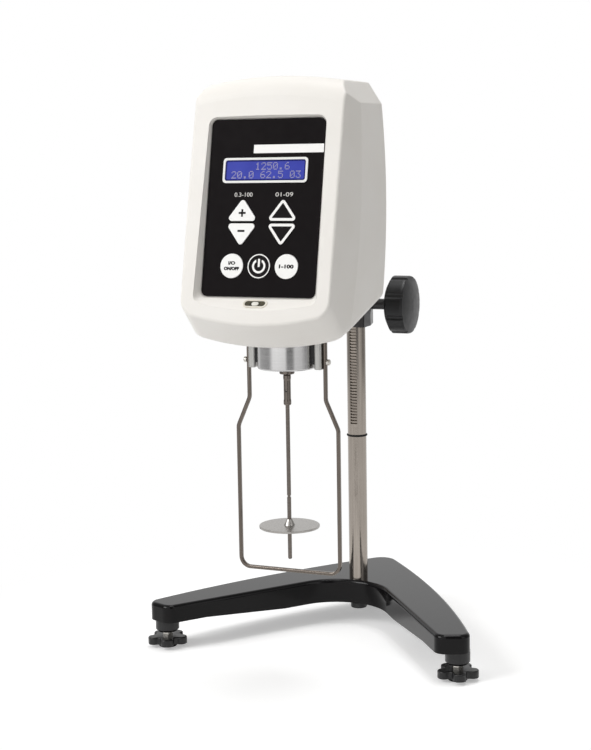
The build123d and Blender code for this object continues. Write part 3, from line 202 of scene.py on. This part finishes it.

# display: backlit blue, a little brighter in random patches
lcd = Material("display_blue", "#333C9E", 0.30, specular=0.10)
lcd.tint(lcd.noise(60, detail=2), "#3F49AE", 0.6)
lcd.bump(lcd.noise(500), 0.000003, 0.2)
lcd.bsdf.inputs["Emission Color"].default_value = srgb("#3A43B0")
lcd.bsdf.inputs["Emission Strength"].default_value = 0.08
M["lcd"] = lcd
M["lcd_rim"] = moulding("display_inner_rim", "#151A66", "#1B2070", 0.4, 0.000004, 0.1)
M["dots"] = moulding("display_dots", "#9E9BB2", "#918EA8", 0.45, 0.000004, 0.2)
vial = Material("vial_liquid", "#4E4A38", 0.12, coat=0.5)
vial.tint(vial.noise(300), "#332E22", 0.7)
vial.bump(vial.noise(700), 0.000004, 0.2)
M["vial"] = vial
M["bubble"] = moulding("vial_bubble", "#EDEBE4", "#D9D5CA", 0.15, 0.000003, 0.5)
M["level_rim"] = moulding("level_rim", "#EDE9E0", "#D3CAB6", 0.30, 0.000005, 0.5, 0.6)

looks = {
    "base_casting": "enamel", "column": "column", "column_bolt": "collar",
    "stop_ring": "rubber", "foot_collars": "collar", "clamp_block": "carriage",
    "column_bushes": "brass", "clamp_screws": "fastener", "brake_pad": "acetal",
    "pinion_bush": "dark_moulding", "pinion_shaft": "carriage", "pinion": "brass", "knob": "knob",
    "housing": "housing", "rear_cover": "cover", "power_inlet": "dark_moulding",
    "inlet_pins": "plated", "panel_overlay": "overlay", "lcd_bezel": "bezel",
    "lcd_glass": "lcd", "lcd_module": "board", "key_board": "board", "level_bezel": "level_rim",
    "level_vial": "vial", "chassis": "sheet", "mounting_arm": "arm", "main_board": "board",
    "drive_shelf": "sheet", "jewel_bearing": "brass", "gearmotor": "plated",
    "drive_gear": "brass", "spring_cage": "cup", "torsion_spring": "brass",
    "pivot_shaft": "spindle", "pivot_cup": "cup", "lower_bearing": "spindle",
    # lug_pads: black pads that stand in for the shade in the gap between the pivot cup and the
    # guard lugs (painted shade)
    "guard_lugs": "lug", "lug_pads": "dark_moulding", "guard_leg": "guard",
    "guard_screws": "plated", "spindle_coupling": "spindle", "spindle_shaft": "spindle",
    "spindle_disc": "disc", "motor_pinion": "brass", "key_motor": "white_key",
    "key_range": "white_key", "key_power": "black_key", "key_speed_up": "white_key",
    "key_speed_down": "white_key", "key_spindle_up": "black_key",
    "key_spindle_down": "black_key",
}
for side in ("left", "right", "rear"):
    looks[f"foot_wheel_{side}"] = "wheel"
    looks[f"foot_stud_{side}"] = "plated"
    looks[f"foot_pad_{side}"] = "rubber"
for name, look in looks.items():
    mesh = nodes[name].data
    mesh.materials.clear()
    mesh.materials.append(M[look].mat)


# ------------------------------------------------------------------ building helpers
def piece(name, mesh, look, body):
    """Adds a mesh as a named piece that rides on a body."""
    obj = bpy.data.objects.new(name, mesh)
    bpy.context.scene.collection.objects.link(obj)
    mesh.materials.append(M[look].mat)
    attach(obj, body)
    return obj


def slab(outlines, matrix, low, high):
    """Closed mesh over flat outlines, each a ring of points in mm, from low to high."""
    mesh = bpy.data.meshes.new("slab")
    work = bmesh.new()
    for ring in outlines:
        lower = [work.verts.new(matrix @ Vector((x, y, low)) * MM) for x, y in ring]
        upper = [work.verts.new(matrix @ Vector((x, y, high)) * MM) for x, y in ring]
        count = len(ring)
        work.faces.new(upper)
        work.faces.new(list(reversed(lower)))
        for i in range(count):
            j = (i + 1) % count
            work.faces.new((lower[i], lower[j], upper[j], upper[i]))
    bmesh.ops.recalc_face_normals(work, faces=work.faces)
    work.to_mesh(mesh)
    work.free()
    return mesh


def band(outer, inner, matrix, low, high):
    """Closed ring between two outlines with as many points each."""
    mesh = bpy.data.meshes.new("band")
    work = bmesh.new()
    rings = [[work.verts.new(matrix @ Vector((x, y, z)) * MM) for x, y in ring]
             for ring, z in ((outer, low), (outer, high), (inner, high), (inner, low))]
    count = len(outer)
    for a, b in zip(rings, rings[1:] + rings[:1]):
        for i in range(count):
            j = (i + 1) % count
            work.faces.new((a[i], a[j], b[j], b[i]))
    bmesh.ops.recalc_face_normals(work, faces=work.faces)
    work.to_mesh(mesh)
    work.free()
    return mesh


def circle(x, y, r, count=72, start=0.0, turn=360.0):
    """Points on a circle or an arc."""
    steps = count if turn >= 360 else count + 1
    return [(x + r * math.cos(math.radians(start + turn * i / count)),
             y + r * math.sin(math.radians(start + turn * i / count))) for i in range(steps)]


def rounded(points, radius, steps=8):
    """Polygon with each corner replaced by an arc."""
    out = []
    count = len(points)
    for i in range(count):
        a, b, c = (Vector(points[(i + k) % count]) for k in (-1, 0, 1))
        u, v = (a - b).normalized(), (c - b).normalized()
        half = u.angle(v) / 2
        reach = radius / math.tan(half)
        centre = b + (u + v).normalized() * (radius / math.sin(half))
        start, end = b + u * reach - centre, b + v * reach - centre
        a0 = math.atan2(start.y, start.x)
        turn = math.atan2(end.y, end.x) - a0
        turn = (turn + math.pi) % (2 * math.pi) - math.pi
        out += [(centre.x + radius * math.cos(a0 + turn * k / steps),
                 centre.y + radius * math.sin(a0 + turn * k / steps)) for k in range(steps + 1)]
    return out


def oblong(x, y, w, h, r, steps=6):
    """Rounded rectangle about a centre."""
    w, h = w / 2, h / 2
    return rounded([(x - w, y - h), (x + w, y - h), (x + w, y + h), (x - w, y + h)], r, steps)


# the panel's own frame in mm: X to the right, Y up along the panel, Z towards the user
LEAN = math.radians(12.0)
PANEL_FOOT = (-52.0 + SPINDLE_Y, 301.3)     # Y and Z of the middle of its lower edge
PANEL = Matrix((
    (1, 0, 0, 0),
    (0, math.sin(LEAN), -math.cos(LEAN), PANEL_FOOT[0]),
    (0, math.cos(LEAN), math.sin(LEAN), PANEL_FOOT[1]),
    (0, 0, 0, 1),
))
FILM = 1.2       # top of the overlay
KEY = 1.6        # top of the keys
GLASS = 1.4      # top of the display glass
INK = 0.05       # thickness of print


def lettering(name, text, x, s, wide, high, z, look, body, bold=0.055):
    """Flat printed characters of a given size, centred on a point of the panel."""
    curve = bpy.data.curves.new(name + "_text", "FONT")
    curve.body = text
    curve.size = 1.0
    curve.offset = bold
    curve.extrude = 0.5
    curve.resolution_u = 5
    holder = bpy.data.objects.new(name + "_holder", curve)
    bpy.context.scene.collection.objects.link(holder)
    bpy.context.view_layer.update()
    mesh = bpy.data.meshes.new_from_object(holder.evaluated_get(
        bpy.context.evaluated_depsgraph_get()))
    bpy.data.objects.remove(holder)
    bpy.data.curves.remove(curve)
    xs = [v.co.x for v in mesh.vertices]
    ys = [v.co.y for v in mesh.vertices]
    fit = Matrix.Diagonal((wide / (max(xs) - min(xs)), high / (max(ys) - min(ys)), INK, 1))
    centre = Matrix.Translation((-(max(xs) + min(xs)) / 2, -(max(ys) + min(ys)) / 2, 0))
    mesh.transform(Matrix.Scale(MM, 4) @ PANEL @ Matrix.Translation((x, s, z + INK / 2)) @ fit
                   @ centre)
    mesh.materials.clear()
    return piece(name, mesh, look, body)


# ------------------------------------------------------------------ panel graphics
BAR_LEFT, BAR_RIGHT = -10.2, 45.1
BAR_LOW, BAR_HIGH = 106.0, 112.3
bar = rounded([(BAR_LEFT, BAR_LOW), (BAR_RIGHT, BAR_LOW), (BAR_RIGHT, BAR_HIGH),
               (BAR_LEFT, BAR_HIGH)], 0.25, 3)
piece("label_bar", slab([bar], PANEL, FILM, FILM + INK), "white_print", "head")

# display: dark inner rim and two rows of dot-matrix digits
LCD_S = 93.3          # height of the display's middle on the panel
RIM_RISE, DOT_RISE = 0.04, 0.03
rim = (oblong(0, LCD_S, 64.0, 15.2, 1.8), oblong(0, LCD_S, 61.8, 13.1, 0.9))
piece("display_rim", band(*rim, PANEL, GLASS, GLASS + RIM_RISE), "lcd_rim", "head")
DIGITS = {
    "0": "01110100011001110101110011000101110", "1": "00100011000010000100001000010001110",
    "2": "01110100010000100010001000100011111", "3": "11111000100010000010000011000101110",
    "5": "11111100001111000001000011000101110", "6": "00110010001000011110100011000101110",
    ".": "00000000000000000000000000110001100", " ": "0" * 35,
}
DOT = 0.78            # pitch of the dots
DOT_SHARE = 0.43      # half a dot's side as a share of the pitch
PITCH = 6.0 * DOT     # from one digit to the next
ROWS = (("1250.6", -7.6, 96.4), ("20.0 62.5 03", -26.6, 90.1))
half = DOT * DOT_SHARE
squares = []
for text, x0, s0 in ROWS:
    for place, digit in enumerate(text):
        for k, on in enumerate(DIGITS[digit]):
            if on == "1":
                x = x0 + place * PITCH + (k % 5) * DOT
                s = s0 + 3 * DOT - (k // 5) * DOT
                squares.append([(x - half, s - half), (x + half, s - half),
                                (x + half, s + half), (x - half, s + half)])
piece("display_digits", slab(squares, PANEL, GLASS, GLASS + DOT_RISE), "dots", "head")

# small numbers over the pairs of triangular keys
ARROW_X = 16.1        # the middle of each pair
LABEL_S = 75.4
lettering("speed_label", "0.3-100", -ARROW_X, LABEL_S, 14.5, 3.1, FILM, "grey_print", "head",
          0.004)
lettering("spindle_label", "01-09", 16.4, LABEL_S, 14.0, 3.1, FILM, "grey_print", "head",
          0.004)


ARROW_HALF = 10.4     # half the width of a triangular key
ARROW_R = 2.2         # rounding of its corners


def arrow(x, base, tip, inset):
    """Outline of a triangular key, drawn in by an inset."""
    way = 1 if tip > base else -1
    half = ARROW_HALF - ARROW_R
    foot, peak = base + way * ARROW_R, tip - way * ARROW_R
    slope = math.atan2(abs(peak - foot), half)
    out = ARROW_R - inset
    reach = half + out / math.tan(slope / 2)
    corners = [(x - reach, foot - way * out), (x + reach, foot - way * out),
               (x, peak + way * out / math.cos(slope))]
    return rounded(corners, max(out, 0.35))


OUTLINE = (0.12, 2.1)         # insets of the white line on the black keys
SIGN_ARM, SIGN_HALF = 2.8, 0.75
for side, x in (("speed", -ARROW_X), ("spindle", ARROW_X)):
    for way, base, tip, share in (("up", 55.9, 71.3, 0.38), ("down", 54.0, 38.6, 0.36)):
        body, key = f"key_{side}_{way}_cap", f"key_{side}_{way}"
        if side == "spindle":
            outer, inner = (arrow(x, base, tip, inset) for inset in OUTLINE)
            piece(f"{key}_outline", band(outer, inner, PANEL, KEY, KEY + INK), "white_print",
                  body)
            continue
        s = base + (tip - base) * share
        a, h = SIGN_ARM, SIGN_HALF
        if way == "up":
            sign = [(-a, -h), (-h, -h), (-h, -a), (h, -a), (h, -h), (a, -h),
                    (a, h), (h, h), (h, a), (-h, a), (-h, h), (-a, h)]
        else:
            sign = rounded([(-a, -h), (a, -h), (a, h), (-a, h)], 0.15, 2)
        sign = [(x + u, s + v) for u, v in sign]
        piece(f"{key}_sign", slab([sign], PANEL, KEY, KEY + INK), "dark_print", body)

ROUND_X, ROUND_S = 21.8, 22.6         # the round keys, beside the power key
lettering("motor_sign_top", "I/O", -ROUND_X, ROUND_S + 2.1, 5.6, 2.6, KEY, "dark_print",
          "key_motor_cap")
lettering("motor_sign_low", "ON/OFF", -ROUND_X, ROUND_S - 2.0, 12.2, 2.6, KEY, "dark_print",
          "key_motor_cap", 0.075)
lettering("range_sign", "1-100", ROUND_X, ROUND_S, 11.6, 2.9, KEY, "dark_print",
          "key_range_cap")


def power_print(name, mesh):
    """A white mark on the power key."""
    piece(name, mesh, "white_print", "key_power_cap")


power_print("power_ring", band(circle(0, ROUND_S, 8.9), circle(0, ROUND_S, 8.1), PANEL, KEY,
                               KEY + INK))
arc = circle(0, ROUND_S, 5.3, 48, 90 + 27, 306)
arc += reversed(circle(0, ROUND_S, 3.7, 48, 90 + 34, 292))
power_print("power_arc", slab([arc], PANEL, KEY, KEY + INK))
stroke = rounded([(-0.8, 22.0), (0.8, 22.0), (0.8, 28.0), (-0.8, 28.0)], 0.3, 3)
power_print("power_bar", slab([stroke], PANEL, KEY, KEY + INK))

# the level's own frame on the sloping ledge, and the bubble and marks seen through the glass
LEDGE = Matrix(((1, 0, 0, 0), (0, 0.729, -0.684, -136.78), (0, 0.684, 0.729, 296.994),
                (0, 0, 0, 1)))


def dome(wide, high, rise, matrix, rings=6):
    """Closed low dome over a rounded outline, flat underneath."""
    mesh = bpy.data.meshes.new("dome")
    work = bmesh.new()
    last = None
    for k in range(rings):
        angle = math.pi / 2 * k / rings
        size, z = math.cos(angle), rise * math.sin(angle)
        ring = [work.verts.new(matrix @ Vector((x, y, z)) * MM)
                for x, y in oblong(0, 0, wide * size, high * size, 0.49 * high * size)]
        if last is None:
            work.faces.new(list(reversed(ring)))
        else:
            count = len(ring)
            for i in range(count):
                j = (i + 1) % count
                work.faces.new((last[i], last[j], ring[j], ring[i]))
        last = ring
    work.faces.new(last)
    bmesh.ops.recalc_face_normals(work, faces=work.faces)
    for face in work.faces:
        face.smooth = True
    work.to_mesh(mesh)
    work.free()
    return mesh


piece("level_bubble", dome(5.6, 3.6, 0.5, LEDGE), "bubble", "head")
for side in (-1, 1):
    mark = oblong(side * 3.6, 0, 0.35, 4.2, 0.15, 2)
    piece(f"level_mark_{'right' if side > 0 else 'left'}", slab([mark], LEDGE, 0, 0.06),
          "dark_print", "head")

# ------------------------------------------------------------------ camera
# fitted to the photograph: the frame's directions and the eye, in mm
right = Vector((0.92195, 0.38697, -0.01625))
upward = Vector((-0.03910, 0.13473, 0.99011))
ahead = Vector((-0.38533, 0.91220, -0.13935))
eye = Vector((466.79, -1088.32 + SPINDLE_Y, 403.55)) * MM
camera = bpy.data.objects.new("camera", bpy.data.cameras.new("camera"))
bpy.context.scene.collection.objects.link(camera)
camera.matrix_world = Matrix((
    (right.x, upward.x, -ahead.x, eye.x),
    (right.y, upward.y, -ahead.y, eye.y),
    (right.z, upward.z, -ahead.z, eye.z),
    (0, 0, 0, 1),
))
SENSOR = 36.0                 # along the taller side of the frame, in mm
FOCAL_PX, TALL_PX = 1563.59, 750
camera.data.sensor_width = SENSOR
camera.data.lens = FOCAL_PX / TALL_PX * SENSOR
camera.data.clip_start = 0.05
camera.data.clip_end = 60.0
bpy.context.scene.camera = camera


# ------------------------------------------------------------------ floor, lamps, world
def math_node(tree, operation, a, b):
    """Sum, product or other combination of two sockets or numbers."""
    made = tree.nodes.new("ShaderNodeMath")
    made.operation = operation
    for socket, value in zip(made.inputs, (a, b)):
        if isinstance(value, (int, float)):
            socket.default_value = value
        else:
            tree.links.new(value, socket)
    return made.outputs[0]


def mapped(tree, value, low, high, start, end):
    """Value mapped smoothly from one range to another."""
    made = tree.nodes.new("ShaderNodeMapRange")
    made.interpolation_type = "SMOOTHSTEP"
    for socket, number in zip(made.inputs[1:5], (low, high, start, end)):
        socket.default_value = number
    tree.links.new(value, made.inputs[0])
    return made.outputs[0]


FLOOR_R = 1.5          # the floor's edge
FADE_FROM = 0.17       # where the lit floor begins to give way to plain white
FADE_TO = 0.36         # and where it is all white
FLOOR_LIFT = 0.36      # white that the eye sees over the whole floor
FLOOR_TONE = 0.86      # its own colour

floor_mesh = bpy.data.meshes.new("floor")
floor_rim = [(x, y, 0) for x, y in circle(0, 0, FLOOR_R)]
floor_mesh.from_pydata(floor_rim, [], [list(range(len(floor_rim)))])
floor = bpy.data.objects.new("floor", floor_mesh)
bpy.context.scene.collection.objects.link(floor)
floor_mat = bpy.data.materials.new("floor_white")
floor_mat.use_nodes = True
tree = floor_mat.node_tree
paper = tree.nodes["Principled BSDF"]
paper.inputs["Base Color"].default_value = (FLOOR_TONE, FLOOR_TONE, FLOOR_TONE, 1)
paper.inputs["Roughness"].default_value = 0.9
paper.inputs["Specular IOR Level"].default_value = 0.0
path = tree.nodes.new("ShaderNodeLightPath")
seen = math_node(tree, "MAXIMUM", path.outputs["Is Camera Ray"], math_node(
    tree, "MAXIMUM", path.outputs["Is Glossy Ray"], path.outputs["Is Transmission Ray"]))
where = tree.nodes.new("ShaderNodeNewGeometry")
length = tree.nodes.new("ShaderNodeVectorMath")
length.operation = "LENGTH"
tree.links.new(where.outputs["Position"], length.inputs[0])
away = mapped(tree, length.outputs["Value"], FADE_FROM, FADE_TO, 0.0, 1.0)
white = tree.nodes.new("ShaderNodeEmission")
fade = tree.nodes.new("ShaderNodeMixShader")
lift = tree.nodes.new("ShaderNodeEmission")
tree.links.new(math_node(tree, "MULTIPLY", seen, FLOOR_LIFT), lift.inputs["Strength"])
total = tree.nodes.new("ShaderNodeAddShader")
tree.links.new(paper.outputs[0], total.inputs[0])
tree.links.new(lift.outputs[0], total.inputs[1])
tree.links.new(math_node(tree, "MULTIPLY", seen, away), fade.inputs[0])
tree.links.new(total.outputs[0], fade.inputs[1])
tree.links.new(white.outputs[0], fade.inputs[2])
tree.links.new(fade.outputs[0], tree.nodes["Material Output"].inputs["Surface"])
floor_mesh.materials.append(floor_mat)

SKY = 0.34             # light that the world gives to matt surfaces
# brightness of the studio by compass bearing, as shares of a turn from -X through -Y
STUDIO = ((0.00, 0.45), (0.10, 0.35), (0.17, 1.25), (0.29, 1.15), (0.325, 0.20), (0.37, 0.20),
          (0.41, 0.85), (0.47, 0.75), (0.54, 0.35), (0.64, 0.40), (0.72, 0.95), (0.88, 0.95),
          (1.00, 0.45))
world = bpy.data.worlds.new("studio")
bpy.context.scene.world = world
world.use_nodes = True
tree = world.node_tree
place = tree.nodes.new("ShaderNodeTexCoord")
parts = tree.nodes.new("ShaderNodeSeparateXYZ")
tree.links.new(place.outputs["Generated"], parts.inputs[0])
turn = math_node(tree, "ARCTAN2", parts.outputs["Y"], parts.outputs["X"])
share = math_node(tree, "ADD", math_node(tree, "MULTIPLY", turn, 0.5 / math.pi), 0.5)
ramp = tree.nodes.new("ShaderNodeValToRGB")
ramp.color_ramp.interpolation = "EASE"
for k, (at, level) in enumerate(STUDIO):
    stops = ramp.color_ramp.elements
    stop = stops[k] if k < 2 else stops.new(at)
    stop.position = at
    stop.color = (level, level, level, 1)
tree.links.new(share, ramp.inputs[0])
path = tree.nodes.new("ShaderNodeLightPath")
plain = tree.nodes["Background"]
plain.inputs["Color"].default_value = (1.0, 0.99, 0.975, 1)
plain.inputs["Strength"].default_value = SKY
studio = tree.nodes.new("ShaderNodeBackground")
tree.links.new(ramp.outputs[0], studio.inputs["Color"])
backdrop = tree.nodes.new("ShaderNodeBackground")
backdrop.inputs["Color"].default_value = (1, 1, 1, 1)
shiny = tree.nodes.new("ShaderNodeMixShader")
tree.links.new(path.outputs["Is Glossy Ray"], shiny.inputs[0])
tree.links.new(plain.outputs[0], shiny.inputs[1])
tree.links.new(studio.outputs[0], shiny.inputs[2])
final = tree.nodes.new("ShaderNodeMixShader")
tree.links.new(math_node(tree, "MAXIMUM", path.outputs["Is Camera Ray"],
                         path.outputs["Is Transmission Ray"]), final.inputs[0])
tree.links.new(shiny.outputs[0], final.inputs[1])
tree.links.new(backdrop.outputs[0], final.inputs[2])
tree.links.new(final.outputs[0], tree.nodes["World Output"].inputs["Surface"])


def softbox(name, at, aim, size, power):
    """Rectangular studio lamp turned to a point."""
    data = bpy.data.lights.new(name, "AREA")
    data.shape = "RECTANGLE"
    data.size, data.size_y = size
    data.energy = power
    lamp = bpy.data.objects.new(name, data)
    bpy.context.scene.collection.objects.link(lamp)
    lamp.location = at
    lamp.rotation_mode = "QUATERNION"
    lamp.rotation_quaternion = (Vector(aim) - Vector(at)).to_track_quat("-Z", "Y")


softbox("key", (-1.53, -1.63, 1.55), (0, -0.1, 0.3), (1.3, 1.3), 40)
softbox("fill", (2.0, -0.7, 0.9), (0, 0, 0.25), (0.9, 1.4), 2.5)
softbox("top", (0.1, 0.1, 2.2), (0, 0, 0.2), (0.8, 0.8), 15)

bpy.context.scene.view_settings.view_transform = "Standard"
